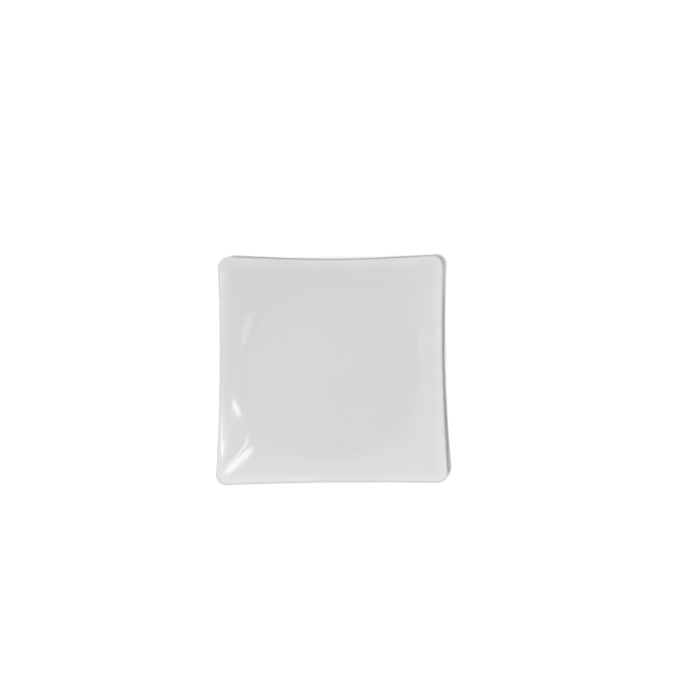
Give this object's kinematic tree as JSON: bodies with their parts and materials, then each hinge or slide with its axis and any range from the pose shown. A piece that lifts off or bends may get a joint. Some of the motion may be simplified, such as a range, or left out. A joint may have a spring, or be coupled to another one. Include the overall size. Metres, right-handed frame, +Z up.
{
  "type": "square plate",
  "caption": "Square white glazed plate with a round well, softly drawn-in sides, raised rounded corners and a round unglazed foot ring.",
  "frame": {"origin": "middle of the plate on the table it stands on, at the standing face of the foot ring", "axes": "+Z up out of the well, +X and +Y square to two sides, +X to the right and +Y away from the viewer in the picture"},
  "size_m": [0.21, 0.21, 0.027],
  "materials": {
    "bare_clay": "unglazed fired clay, matt and faintly rough",
    "glaze": "clear gloss glaze over white clay"
  },
  "bodies": {
    "root": {"body": "bare_clay", "face_glaze": "glaze", "base_glaze": "glaze"}
  },
  "joints": []
}
